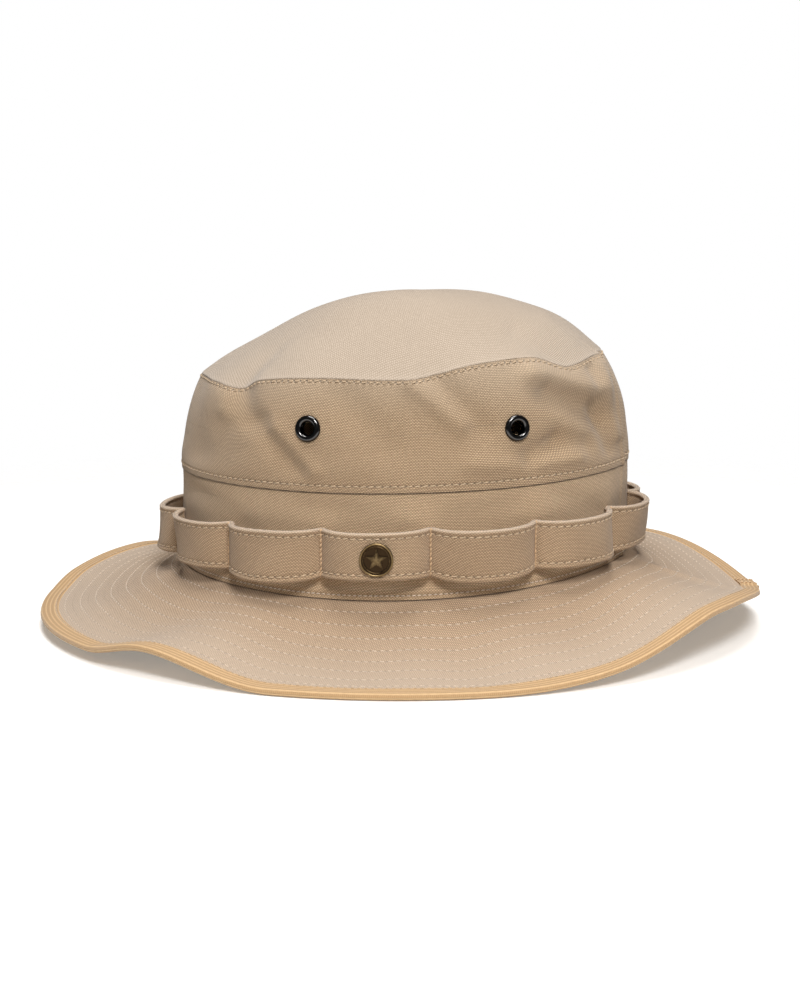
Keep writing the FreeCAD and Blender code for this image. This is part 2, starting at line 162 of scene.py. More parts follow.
def lumps(points, wavelength, seed):
    """A smooth random height from about -1 to 1."""
    random = np.random.RandomState(seed)
    waves = 14
    total = np.zeros(points.shape[:-1])
    for _ in range(waves):
        direction = random.normal(size=3)
        direction /= np.linalg.norm(direction)
        stretch = random.uniform(0.7, 1.5)
        total += np.cos(points @ direction * ROUND / (wavelength * stretch) + random.uniform(0, ROUND))
    return total / math.sqrt(waves)


def folds(x, y, z, table):
    """Outward bulge of the folds in a table."""
    total = np.zeros_like(x)
    for (from_y, from_z), (to_y, to_z), width, bulge, ear in table:
        run_y, run_z = (to_y - from_y) * mm, (to_z - from_z) * mm
        away_y, away_z = y - from_y * mm, z - from_z * mm
        share = np.clip((away_y * run_y + away_z * run_z) / (run_y ** 2 + run_z ** 2), 0, 1)
        distance = np.hypot(away_y - share * run_y, away_z - share * run_z)
        total += bulge * mm * bell(distance, 0, width * mm) * ease(x * ear / (25 * mm))
    return total


def oval(turn, half_length, half_width, back=CROWN_BACK):
    """Points of an oval, and the outward direction across it."""
    x = half_width * np.cos(turn)
    y = back + half_length * np.sin(turn)
    out_x, out_y = np.cos(turn) / half_width, np.sin(turn) / half_length
    size = np.hypot(out_x, out_y)
    return x, y, out_x / size, out_y / size


def even_turns(half_length, half_width):
    """A function from a share of the way round to the turn there."""
    turn = np.linspace(0, ROUND, 3601)
    x, y, _, _ = oval(turn, half_length, half_width)
    travelled = np.concatenate(([0], np.cumsum(np.hypot(np.diff(x), np.diff(y)))))
    length = travelled[-1]

    def turn_at(share):
        whole = np.floor(share)
        return np.interp((share - whole) * length, travelled, turn) + whole * ROUND
    return turn_at, length


band_turn, BAND_ROUND = even_turns(*BAND)
brim_turn, BRIM_ROUND = even_turns((BAND[0] + BRIM[0]) / 2, (BAND[1] + BRIM[1]) / 2)


def root_height(turn):
    return (26.1 + 2.86 * np.sin(turn) + 5.9 * np.sin(turn) ** 2) * mm


def band_seam_height(turn):
    return (73.2 + 2.05 * np.sin(turn) + 2.3 * np.sin(turn) ** 2) * mm


def tip_seam_height(turn):
    return through(TIP_SEAM_HEIGHTS, turn) * mm


def stack(x, y, z):
    return np.stack(np.broadcast_arrays(x, y, z), axis=-1)


def back_ridge(turn):
    """A soft upright crease near the back on the left, and the closing seam's ridge at the back."""
    degrees = np.degrees(turn) % 360
    crease = 1.1 * bell(degrees, 71, 1.4)
    valley = -1.5 * bell(degrees, 76, 3.0)
    seam = 0.5 * bell(degrees, 91.5, 1.6) - 0.5 * bell(degrees, 90, 0.35)
    return (crease + valley + seam) * mm


def side_skin(turn, rise, lift=0.0):
    """The crown's side, outer face. Rise runs from 0 at the band seam to 1 at the tip seam."""
    taper = np.clip(rise, 0, 1) ** 2.7
    half_length = SIDE[0] + (TIP[0] - SIDE[0]) * taper
    half_width = SIDE[1] + (TIP[1] - SIDE[1]) * taper
    x, y, out_x, out_y = oval(turn, half_length, half_width, CROWN_BACK + (TIP_BACK - CROWN_BACK) * taper)
    z = band_seam_height(turn) + (tip_seam_height(turn) - band_seam_height(turn)) * rise
    loose = ease(rise * 5)
    bulge = folds(x, y, z, SIDE_FOLDS) + 0.7 * mm * lumps(stack(x, y, z), 42 * mm, 3)
    bulge = bulge * loose + back_ridge(turn) + lift
    return stack(x + out_x * bulge, y + out_y * bulge, z)


def tip_skin(turn, reach, lift=0.0):
    """The domed tip, outer face. Reach runs from 0 at its top to 1 at its seam."""
    seam = side_skin(turn, np.ones_like(turn))
    reach = np.asarray(reach)
    x, y, _, _ = oval(turn, *TIP, back=TIP_BACK)
    x = DOME_TOP.x + (x - DOME_TOP.x) * reach + (seam[..., 0] - x) * reach ** 6
    y = DOME_TOP.y + (y - DOME_TOP.y) * reach + (seam[..., 1] - y) * reach ** 6
    even = (120.8 + 5.6 * np.sin(turn)) * mm
    fuller = 2 + 0.5 * np.cos(turn) ** 2 + 0.6 * np.clip(np.sin(turn), 0, 1)
    z = DOME_TOP.z + (even - DOME_TOP.z) * reach ** fuller + (seam[..., 2] - even) * reach ** 9
    free = 1 - reach ** 8
    puff = folds(x, y, z, TIP_FOLDS) + 0.8 * mm * lumps(stack(x, y, z), 50 * mm, 8)
    slope = 2 * (DOME_TOP.z - seam[..., 2]) * reach / np.hypot(seam[..., 0], seam[..., 1] - DOME_TOP.y)
    tall = 1 / np.sqrt(1 + slope ** 2)
    away = np.arctan2(seam[..., 1] - DOME_TOP.y, seam[..., 0])
    puff = puff * free + lift
    aside = slope * tall * puff
    return stack(x + np.cos(away) * aside, y + np.sin(away) * aside, z + tall * puff)


def band_skin(turn, rise, lift=0.0):
    """The upright band, outer face. Rise runs from 0 at the brim to 1 at the band seam."""
    x, y, out_x, out_y = oval(turn, *BAND)
    z = root_height(turn) + (band_seam_height(turn) - root_height(turn)) * rise
    bulge = folds(x, y, z, BAND_FOLDS) + 0.35 * mm * lumps(stack(x, y, z), 34 * mm, 5)
    bulge = bulge * ease(rise * 4) * ease((1 - rise) * 5) + back_ridge(turn) * 0.7 + lift
    return stack(x + out_x * bulge, y + out_y * bulge, z)


def brim_middle(turn, share):
    """The brim's middle layer. Share runs from 0 at the crown to 1 at the bound edge."""
    root_x, root_y, _, _ = oval(turn, BAND[0] - 0.4 * mm, BAND[1] - 0.4 * mm)
    edge_x, edge_y, _, _ = oval(turn, *BRIM, back=0.0)
    high = root_height(turn) - HALF_BRIM
    low = through(EDGE_HEIGHTS, turn) * mm + HALF_BRIM + BINDING_CLOTH
    x = root_x + (edge_x - root_x) * share
    y = root_y + (edge_y - root_y) * share
    z = low + (high - low) * np.clip(1 - share, 0, None) ** 1.8
    ripple = 0.2 * mm * lumps(stack(x, y, z * 0), 60 * mm, 11)
    for degrees, spread, height in BRIM_WAVES:
        away = (np.degrees(turn) - degrees + 180) % 360 - 180
        ripple = ripple + height * mm * bell(away, 0, spread)
    return stack(x, y, z + ripple * ease(share * 2.2) * ease((1 - share) * 3))


def brim_skin(turn, share, lift=0.0):
    """A face off the brim's middle layer, square to its slope."""
    step = 0.01
    near = brim_middle(turn, share - step)
    slope = brim_middle(turn, share + step) - near
    run = np.hypot(slope[..., 0], slope[..., 1])
    square = stack(-slope[..., 2] * slope[..., 0] / run, -slope[..., 2] * slope[..., 1] / run, run)
    square /= np.linalg.norm(square, axis=-1, keepdims=True)
    return brim_middle(turn, share) + square * np.expand_dims(np.broadcast_to(lift, share.shape), -1)


BRIM_WIDTH = (BRIM[1] - BAND[1] + BRIM[0] - BAND[0]) / 2 * 1.03
BRIM_ROWS = [(ROW_START + ROW_GAP * row) / BRIM_WIDTH for row in range(8)]


# ---------------------------------------------------------------- meshes

def finish_piece(name, mesh, material, slot, *nodes):
    """Gives a mesh its material, shades it smooth, hangs it under the root body and hides the CAD nodes it
    stands for; the slot is not used.
    """
    piece = bpy.data.objects.new(name, mesh)
    bpy.context.scene.collection.objects.link(piece)
    mesh.materials.clear()
    mesh.materials.append(material)
    mesh.shade_smooth()
    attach(piece, "root")
    if nodes:
        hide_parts(*nodes)
    return piece


def cloth_mesh(name, columns, section, shape, cloth_map, stitch_map=None, crease=None, closed=True):
    """A sheet swept along itself. The section is an array of (up, lift) points, and shape(u, up, lift)
    places them at each u from 0 to 1. Both maps take (u, up) and give metres or stitches, and crease
    takes up and gives the painted shade deep in a seam, from 0 to 1, and below 0, down to -1, the paling for
    wear and painted highlight."""
    bm = bmesh.new()
    bmesh.ops.create_grid(bm, x_segments=columns, y_segments=len(section) - 1, size=0.5)
    mesh = bpy.data.meshes.new(name)
    bm.to_mesh(mesh)
    bm.free()
    flat = np.zeros(len(mesh.vertices) * 3)
    mesh.vertices.foreach_get("co", flat)
    flat = flat.reshape(-1, 3)
    u = flat[:, 0] + 0.5
    row = np.rint((flat[:, 1] + 0.5) * (len(section) - 1)).astype(int)
    up, lift = section[row, 0], section[row, 1]
    mesh.vertices.foreach_set("co", shape(u, up, lift).astype(np.float32).ravel())
    deep = mesh.attributes.new("crease", "FLOAT", "POINT")
    deep.data.foreach_set("value", (crease(up) if crease else up * 0).astype(np.float32))
    corners = np.zeros(len(mesh.loops), int)
    mesh.loops.foreach_get("vertex_index", corners)
    for map_name, layout in (("cloth", cloth_map), ("stitches", stitch_map)):
        layer = mesh.uv_layers.new(name=map_name)
        across, along = layout(u, up) if layout else (u, u * 0 + 1.0)
        layer.data.foreach_set("uv", np.stack((across, along), axis=-1)[corners].astype(np.float32).ravel())
    bm = bmesh.new()
    bm.from_mesh(mesh)
    if closed:
        bmesh.ops.remove_doubles(bm, verts=bm.verts, dist=0.002 * mm)
        bmesh.ops.delete(bm, geom=[edge for edge in bm.edges if not edge.link_faces], context="EDGES")
    bm.to_mesh(mesh)
    bm.free()
    return mesh


def cloth_piece(name, material, slot, node, *sheet, **extras):
    """A cloth sheet finished as a piece."""
    return finish_piece(name, cloth_mesh(name, *sheet, **extras), material, slot, node)


def level_section(up):
    """A section whose points all lie on the face."""
    return np.stack((up, up * 0), axis=-1)


def round_crown(skin):
    """A skin that takes turns, for a sheet that runs evenly round the crown."""
    return lambda u, up, lift: skin(band_turn(u), up, lift)


def walled(outer, thickness, sparse):
    """A closed section: the outer face's (up, lift) points, then an inner face of fewer points."""
    outer = np.array(outer)
    picks = np.linspace(len(outer) - 1, 0, sparse).round().astype(int)
    inner = outer[picks] - [0, thickness]
    return np.vstack((outer, inner, outer[:1]))


def thicken(piece, thickness):
    """Gives a flat piece its thickness, inwards."""
    solid = piece.modifiers.new("thickness", "SOLIDIFY")
    solid.thickness = thickness
    solid.offset = -1


def stitches(name, rows, material, slot="twill", thick=0.3 * mm):
    """Short lengths of thread. A row is an array of stitches, each of four points."""
    curve = bpy.data.curves.new(name, "CURVE")
    curve.dimensions = "3D"
    curve.bevel_depth = thick
    curve.bevel_resolution = 1
    curve.use_fill_caps = True
    for row in rows:
        for points in row:
            spline = curve.splines.new("POLY")
            spline.points.add(len(points) - 1)
            for place, point in zip(spline.points, points):
                place.co = (*point, 1)
            spline.points[0].radius = 0.5
            spline.points[-1].radius = 0.5
    rope = bpy.data.objects.new(name, curve)
    mesh = bpy.data.meshes.new_from_object(rope)
    mesh.name = name
    bpy.data.objects.remove(rope)
    return finish_piece(name, mesh, material, slot)


def stitch_row(skin, count, fill=0.72, proud=0.22 * mm, sink=0.35 * mm, slant=0.12 * mm):
    """Stitches evenly spread along skin(share, aside, lift), each leaning a little across its row."""
    start = (np.arange(count) + (1 - fill) / 2) / count
    stop = start + fill / count
    inner = 0.16 / count
    row = [skin(start, -slant, -sink), skin(start + inner, -slant, proud),
           skin(stop - inner, slant, proud), skin(stop, slant, -sink)]
    return np.stack(row, axis=1)


# ---------------------------------------------------------------- materials

def feed(tree, value, socket):
    """Links a socket to another's output, or sets it to a constant."""
    if isinstance(value, bpy.types.NodeSocket):
        tree.links.new(value, socket)
    else:
        socket.default_value = value


def add(tree, kind, sockets=None, **settings):
    """A node with its settings, and a link or a constant for each of the sockets given."""
    node = tree.nodes.new(kind)
    for key, value in settings.items():
        setattr(node, key, value)
    for label, value in (sockets or {}).items():
        feed(tree, value, node.inputs[label])
    return node


def new_group(name, inputs, outputs):
    """A shader group, what it is given and what it gives back. Inputs are (name, default)."""
    group = bpy.data.node_groups.new(name, "ShaderNodeTree")
    for label, default in inputs:
        kind = "NodeSocketVector" if default is None else "NodeSocketFloat"
        socket = group.interface.new_socket(label, in_out="INPUT", socket_type=kind)
        if default is not None:
            socket.default_value = default
    for label in outputs:
        group.interface.new_socket(label, in_out="OUTPUT", socket_type="NodeSocketFloat")
    return group, group.nodes.new("NodeGroupInput").outputs, group.nodes.new("NodeGroupOutput").inputs


def maths(tree, operation, *values):
    node = add(tree, "ShaderNodeMath", operation=operation)
    for socket, value in zip(node.inputs, values):
        feed(tree, value, socket)
    return node.outputs[0]


def fade(tree, value, start, stop, low=0.0, high=1.0):
    """A smooth step from low at start to high at stop."""
    sockets = {"Value": value, "From Min": start, "From Max": stop, "To Min": low, "To Max": high}
    return add(tree, "ShaderNodeMapRange", sockets, interpolation_type="SMOOTHSTEP").outputs["Result"]


def noise(tree, place, scale, detail=2.0):
    return add(tree, "ShaderNodeTexNoise", {"Vector": place, "Scale": scale, "Detail": detail}).outputs


def split(tree, vector):
    return add(tree, "ShaderNodeSeparateXYZ", {0: vector}).outputs


def object_place(tree):
    return add(tree, "ShaderNodeTexCoord").outputs["Object"]


def own_map(tree, name):
    return add(tree, "ShaderNodeUVMap", uv_map=name).outputs["UV"]


def own_value(tree, name):
    """A value that the piece's own points carry."""
    return add(tree, "ShaderNodeAttribute", attribute_type="GEOMETRY", attribute_name=name).outputs["Fac"]


def colour_mix(tree, factor, low, high):
    """Low where the factor is 0 and high where it is 1; either may be a plain colour."""
    node = add(tree, "ShaderNodeMix", {"Factor": factor}, data_type="RGBA")
    for label, value in (("A", low), ("B", high)):
        feed(tree, (*value, 1) if isinstance(value, tuple) else value, node.inputs[label])
    return node.outputs["Result"]


def share_of(colour, share):
    return tuple(channel * share for channel in colour)


def emboss(tree, shader, height, distance):
    bump = add(tree, "ShaderNodeBump", {"Height": height, "Distance": distance})
    feed(tree, bump.outputs["Normal"], shader.inputs["Normal"])


def weave_group():
    """Twill: rows of short raised dashes, each row stepped along from the last. The vector is in
    metres, and Row, Dash and the drift of the threads are in mm."""
    inputs = (("Vector", None), ("Row", 1.0), ("Dash", 2.0), ("Step", 0.5), ("Lean", 0.0))
    group, given, result = new_group("twill weave", inputs, ("Height",))
    in_mm = {0: given["Vector"], "Scale": 1 / mm}
    spot = add(group, "ShaderNodeVectorMath", in_mm, operation="SCALE").outputs[0]
    drift = {0: noise(group, spot, 0.09, 3.0)["Color"], 1: (0.9, 0.9, 0.0), 2: spot}
    drifted = add(group, "ShaderNodeVectorMath", drift, operation="MULTIPLY_ADD").outputs[0]
    lean = {"Vector": drifted, "Angle": given["Lean"]}
    place = split(group, add(group, "ShaderNodeVectorRotate", lean, rotation_type="Z_AXIS").outputs[0])
    row = maths(group, "DIVIDE", place["Y"], given["Row"])
    stepped = maths(group, "MULTIPLY", maths(group, "FLOOR", row), given["Step"])
    along = maths(group, "ADD", maths(group, "DIVIDE", place["X"], given["Dash"]), stepped)
    row_wave = maths(group, "COSINE", maths(group, "MULTIPLY", maths(group, "SUBTRACT", row, 0.5), ROUND))
    dash_wave = maths(group, "COSINE", maths(group, "MULTIPLY", along, ROUND))
    ridge = fade(group, row_wave, -1.0, 0.9)
    dash = fade(group, dash_wave, -1.0, 0.5, 0.25, 1.0)
    feed(group, maths(group, "MULTIPLY", ridge, dash), result["Height"])
    return group


def holes_group():
    """Needle holes along stitch rows. The vector is (stitches along, metres off the row)."""
    group, given, result = new_group("needle holes", (("Vector", None), ("Pitch", 3.3)), ("Hole", "Groove"))
    parts = split(group, given["Vector"])
    off = maths(group, "ABSOLUTE", maths(group, "MULTIPLY", parts["Y"], 1 / mm))
    phase = maths(group, "SUBTRACT", maths(group, "FRACT", maths(group, "ADD", parts["X"], 0.5)), 0.5)
    along = maths(group, "MULTIPLY", phase, given["Pitch"])
    squares = maths(group, "ADD", maths(group, "MULTIPLY", along, along), maths(group, "MULTIPLY", off, off))
    feed(group, fade(group, maths(group, "SQRT", squares), 0.15, 0.6, 1.0, 0.0), result["Hole"])
    feed(group, fade(group, off, 0.1, 1.6, 1.0, 0.0), result["Groove"])
    return group


WEAVE = weave_group()
HOLES = holes_group()
# Painted light: the pale colour the crown side is painted towards near its top.
PAINTED_TOP_LIGHT = (0.500, 0.395, 0.290)
# Pale colour for worn edges, also used as painted highlight on lit edges.
EDGE_WEAR_AND_HIGHLIGHT = (0.630, 0.522, 0.418)


def new_material(name, roughness, **constants):
    material = bpy.data.materials.new(name)
    material.use_nodes = True
    tree = material.node_tree
    shader = tree.nodes["Principled BSDF"]
    shader.inputs["Roughness"].default_value = roughness
    for label, value in constants.items():
        shader.inputs[label.replace("_", " ")].default_value = value
    return material, tree, shader


def cloth(name, colour, row, dash, lean, step=0.5, depth=0.12, contrast=0.45, pitch=3.3, hole_shade=0.6,
          groove=0.15, top_light=0.0):
    """Washed cotton: woven dashes, uneven dye, and needle holes where it is stitched, painted darker as
    shade; also painted shade in seams, paling for wear and painted highlight on edges, and painted light
    towards the top of the crown.
    """
    material, tree, shader = new_material(name, 0.92, Sheen_Weight=0.18, Sheen_Roughness=0.6)
    threads = {"Vector": own_map(tree, "cloth"), "Row": row, "Dash": dash, "Step": step,
               "Lean": math.radians(lean)}
    weave = add(tree, "ShaderNodeGroup", threads, node_tree=WEAVE).outputs["Height"]
    needle = {"Vector": own_map(tree, "stitches"), "Pitch": pitch}
    holes = add(tree, "ShaderNodeGroup", needle, node_tree=HOLES).outputs
    place = object_place(tree)
    patchy = noise(tree, place, 22.0, 5.0)["Fac"]
    fuzz = noise(tree, place, 900.0)["Fac"]
    deep = tuple(channel * (1 - contrast) ** power for channel, power in zip(colour, (1.0, 1.15, 1.35)))
    pale = tuple(min(1.0, channel * (1 + contrast * 0.5)) for channel in colour)
    woven = colour_mix(tree, weave, deep, pale)
    dyed = colour_mix(tree, fade(tree, patchy, 0.3, 0.7, 0.0, 0.16), woven, deep)
    speckled = colour_mix(tree, fade(tree, fuzz, 0.35, 0.75, 0.0, 0.14), dyed, pale)
    # Painted shade: the cloth is darkened in each needle hole.
    hole = maths(tree, "MULTIPLY", holes["Hole"], hole_shade)
    hole_shaded = colour_mix(tree, hole, speckled, share_of(colour, 0.35))
    # Painted light: paler towards the top of the crown, where the side tilts up towards the light.
    wear_and_top_light = maths(tree, "MULTIPLY", fade(tree, split(tree, place)["Z"], 0.098, 0.128), top_light)
    top_lit = colour_mix(tree, wear_and_top_light, hole_shaded, PAINTED_TOP_LIGHT)
    # Above zero the crease value darkens the cloth as painted shade in seams; below zero it pales it, as wear
    # and as painted highlight on lit edges.
    crease = own_value(tree, "crease")
    wear_and_shading = colour_mix(tree, maths(tree, "MULTIPLY", crease, -1.0), top_lit, EDGE_WEAR_AND_HIGHLIGHT)
    feed(tree, colour_mix(tree, crease, wear_and_shading, share_of(colour, 0.12)), shader.inputs["Base Color"])
    raised = maths(tree, "MULTIPLY", weave, depth)
    grooved = maths(tree, "MULTIPLY", holes["Groove"], groove)
    sunk = maths(tree, "ADD", maths(tree, "MULTIPLY", holes["Hole"], 0.35), grooved)
    hairy = maths(tree, "MULTIPLY", fuzz, 0.06)
    emboss(tree, shader, maths(tree, "ADD", maths(tree, "SUBTRACT", raised, sunk), hairy), mm)
    return material


def thread_material(name, colour):
    """Spun polyester: a faint twist and uneven tone."""
    material, tree, shader = new_material(name, 0.7, Sheen_Weight=0.2)
    twist = noise(tree, object_place(tree), 1400.0)["Fac"]
    shade = colour_mix(tree, fade(tree, twist, 0.35, 0.65), share_of(colour, 0.72), colour)
    feed(tree, shade, shader.inputs["Base Color"])
    emboss(tree, shader, twist, 0.05 * mm)
    return material


def metal(name, colour, wear_and_top_light, roughness):
    """Plated metal, rubbed bright where its own polish attribute is high."""
    material, tree, shader = new_material(name, roughness, Metallic=1.0)
    patina = noise(tree, object_place(tree), 1300.0, 4.0)["Fac"]
    uneven = maths(tree, "MULTIPLY", maths(tree, "SUBTRACT", patina, 0.5), 0.7)
    wear_and_shading = fade(tree, maths(tree, "ADD", own_value(tree, "polish"), uneven), 0.2, 0.9)
    feed(tree, colour_mix(tree, wear_and_shading, colour, wear_and_top_light), shader.inputs["Base Color"])
    feed(tree, fade(tree, patina, 0.3, 0.7, roughness, roughness + 0.1), shader.inputs["Roughness"])
    return material


def ribbed_tape(name, colour, pitch):
    """Binding tape: raised cords lengthwise with a looser cross weave between them."""
    material, tree, shader = new_material(name, 0.8, Sheen_Weight=0.2)
    parts = split(tree, own_map(tree, "cloth"))
    across = maths(tree, "MULTIPLY", parts["Y"], ROUND / (pitch * mm))
    cord = fade(tree, maths(tree, "COSINE", across), -0.2, 0.9)
    along = maths(tree, "SINE", maths(tree, "MULTIPLY", parts["X"], ROUND / (0.8 * mm)))
    wavy = maths(tree, "MULTIPLY", fade(tree, along, -1.0, 1.0), maths(tree, "SUBTRACT", 1.0, cord))
    fuzz = noise(tree, object_place(tree), 700.0)["Fac"]
    deep = tuple(channel * share for channel, share in zip(colour, (0.68, 0.60, 0.52)))
    base = colour_mix(tree, cord, deep, colour)
    woven = colour_mix(tree, maths(tree, "MULTIPLY", wavy, 0.5), base, share_of(colour, 0.9))
    shade = colour_mix(tree, fade(tree, fuzz, 0.35, 0.7, 0.0, 0.25), woven, deep)
    feed(tree, shade, shader.inputs["Base Color"])
    emboss(tree, shader, maths(tree, "ADD", cord, maths(tree, "MULTIPLY", wavy, 0.4)), 0.25 * mm)
    return material


# Side: painted lighter towards its top, as painted light on its upward-tilting shoulder.
side_twill = cloth("side_twill", (0.545, 0.390, 0.242), 0.60, 1.28, 4, contrast=0.64, top_light=0.45)
# Band: the same twill painted brighter, making up for the shade it gets under the hem and the loops.
band_twill_painted_light = cloth("band_twill_painted_light", (0.665, 0.485, 0.308), 0.60, 1.28, 4, contrast=0.62)
# Tip: the same twill painted paler and greyer, a painted sheen for the light on its top.
tip_twill_painted_light = cloth("tip_twill_painted_light", (0.550, 0.452, 0.356), 0.60, 1.25, 24, step=0.4, depth=0.08, contrast=0.42)
brim_twill = cloth("brim_twill", (0.520, 0.370, 0.240), 0.66, 1.15, 30, depth=0.08, contrast=0.62, pitch=3.4,
                   hole_shade=0.25, groove=0.02)
loop_twill = cloth("loop_twill", (0.555, 0.395, 0.248), 0.58, 1.3, 6, contrast=0.64, hole_shade=0.6)
lining = cloth("lining_cloth", (0.430, 0.315, 0.215), 0.8, 0.8, 0, depth=0.06, contrast=0.12)
buckram = cloth("buckram", (0.70, 0.64, 0.54), 1.2, 1.2, 0, depth=0.1)
label_cloth = cloth("label_cloth", (0.78, 0.75, 0.68), 0.4, 0.8, 0, depth=0.03, contrast=0.06)
binding_tape = ribbed_tape("binding_tape", (0.670, 0.450, 0.235), 1.9)
tan_thread = thread_material("tan_thread", (0.66, 0.49, 0.32))
rust_thread = thread_material("rust_thread", (0.70, 0.47, 0.27))
pale_thread = thread_material("pale_thread", (0.77, 0.64, 0.505))
gunmetal = metal("gunmetal", (0.020, 0.019, 0.020), (0.085, 0.082, 0.080), 0.12)
aged_brass = metal("aged_brass", (0.060, 0.036, 0.018), (0.33, 0.23, 0.11), 0.34)


# ---------------------------------------------------------------- crown

# Stitches all the way round, then heights above each piece's own lower edge.
TIP_STITCHES = 181
HEM_STITCHES = 184
FOOT_STITCHES = 262
SIDE_HEIGHT = 45 * mm
BAND_HEIGHT = 47 * mm
HEM = 0.9 * mm
HEM_ROW = 1.7 * mm
TIP_ROW = 43.7 * mm
FOOT_ROW = 2.0 * mm
GROOVE = 0.45 * mm                    # half width of the groove that a row of stitches draws in the cloth


def fold_arc(low, lift, radius):
    """(up, lift) points round a folded edge whose lowest point is at low, out to lift."""
    angles = np.radians(np.linspace(180, 360, 7))
    up = low + radius + radius * np.sin(angles)
    return np.stack((up, lift - radius + radius * np.cos(angles)), axis=-1)


def side_section():
    """Folded under at the hem, lapping the band, and rolled into the tip seam."""
    fold = fold_arc(-1.3 * mm, HEM, 0.5 * mm)
    hem, middle, seam = np.arange(0.1, 5.0, 0.35), np.linspace(5.4, 41.6, 34), np.arange(42.0, 44.6, 0.3)
    up = np.concatenate((hem, middle, seam)) * mm
    lift = HEM * (1 - ease((up - 2.6 * mm) / (14 * mm)))
    lift -= 0.25 * mm * bell(up, HEM_ROW, GROOVE)
    lift -= 0.20 * mm * bell(up, TIP_ROW, GROOVE)
    lift -= 0.3 * mm * ease((up - 44.3 * mm) / (0.7 * mm))
    outer = np.vstack((fold, np.stack((up, lift), axis=-1), [(SIDE_HEIGHT + 0.2 * mm, -0.7 * mm)]))
    inner_up = np.array([45.2, 43.0, 40, 36, 33, 30, 27, 24, 21, 18, 15, 12, 9, 6, 4, 2.6]) * mm
    inner = np.stack((inner_up, np.full(len(inner_up), -1.2 * mm)), axis=-1)
    tuck = [(2.2 * mm, -0.6 * mm), (1.8 * mm, 0.1 * mm)]
    return np.vstack((outer, inner, tuck, outer[:1])) / [SIDE_HEIGHT, 1]


def side_seam_shade(up):
    """Painted shade under the hem's fold, and faintly in the tip seam."""
    height = up * SIDE_HEIGHT
    return ease((-0.75 * mm - height) / (0.45 * mm)) + 0.1 * ease((height - 44.6 * mm) / (0.4 * mm))


def strip_map(tall):
    """How a strip of cloth as tall as this lies flat, in metres."""
    return lambda u, up: (u * BAND_ROUND, up * tall)


def side_stitch_map(u, up):
    """Rows just under the tip seam and just above the hem."""
    upper = up > 0.5
    row = np.where(upper, TIP_ROW, HEM_ROW)
    return u * np.where(upper, TIP_STITCHES, HEM_STITCHES), up * SIDE_HEIGHT - row


def cut_vents(mesh):
    """Opens the cloth behind each eyelet."""
    bm = bmesh.new()
    bm.from_mesh(mesh)
    spots = [place.translation for place in vent_places().values()]
    reach = 4.2 * mm
    doomed = [face for face in bm.faces
              if min((face.calc_center_median() - spot).length for spot in spots) < reach]
    bmesh.ops.delete(bm, geom=doomed, context="FACES")
    bm.to_mesh(mesh)
    bm.free()


def vent_places():
    """The middle of each vent on the crown's side; local +Z points outward."""
    places = {}
    for end, (along, height) in VENTS.items():
        for ear, mirror in (("left", 1), ("right", -1)):
            reach = (along - CROWN_BACK) / SIDE[0] * 1.02
            turn = np.array(math.asin(reach) if mirror > 0 else math.pi - math.asin(reach))
            low, high = band_seam_height(turn), tip_seam_height(turn)
            rise = (height - low) / (high - low)
            spot = Vector(side_skin(turn, rise))
            step = 0.02
            round_step = Vector(side_skin(turn + step, rise)) - Vector(side_skin(turn - step, rise))
            up_step = Vector(side_skin(turn, rise + step)) - Vector(side_skin(turn, rise - step))
            outward = round_step.cross(up_step).normalized()
            level = up_step.cross(outward).normalized()
            turned = Matrix((level, outward.cross(level), outward)).transposed().to_4x4()
            places[f"{ear}_{end}"] = Matrix.Translation(spot) @ turned
    return places


def crown_side():
    mesh = cloth_mesh("crown_side_cloth", 720, side_section(), round_crown(side_skin), strip_map(SIDE_HEIGHT),
                      side_stitch_map, side_seam_shade)
    cut_vents(mesh)
    finish_piece("crown_side_cloth", mesh, side_twill, "twill", "crown_side")

    def row_skin(height, out):
        def skin(share, aside, lift):
            return side_skin(band_turn(share), (height + aside) / SIDE_HEIGHT, lift + out)
        return skin
    stitches("crown_stitches", [stitch_row(row_skin(TIP_ROW, -0.05 * mm), TIP_STITCHES),
                                stitch_row(row_skin(HEM_ROW, HEM - 0.15 * mm), HEM_STITCHES)], tan_thread)


def crown_tip():
    lip = np.array([(0.998, -0.8), (1.001, -0.45), (1.002, -0.15), (1.000, 0.05), (0.994, 0.12),
                    (0.984, 0.10), (0.972, 0.06), (0.960, 0.02), (0.945, 0.0)]) * [1, mm]
    outer = np.vstack((lip, level_section(np.linspace(0.93, 0.0, 80))))

    def layout(u, up):
        turn = band_turn(u)
        return up * TIP[1] * np.cos(turn), up * TIP[0] * np.sin(turn)

    def wear_and_shading(up):
        """Worn pale along the seam's rolled edge, with a faint painted shade where the edge turns under."""
        return 0.05 * ease((up - 1.0) / 0.004) - 0.25 * bell(up, 0.992, 0.006)
    cloth_piece("crown_tip_cloth", tip_twill_painted_light, "twill", "crown_tip", 620, walled(outer, CROWN_CLOTH, 16),
                round_crown(tip_skin), layout, crease=wear_and_shading)


def band_seam_shade(up):
    """Painted shade where the band turns under onto the brim and where the hem laps it."""
    height = up * BAND_HEIGHT
    return 0.9 * ease((0.25 * mm - height) / (0.4 * mm)) + 0.85 * ease((height - 45.0 * mm) / (0.6 * mm))


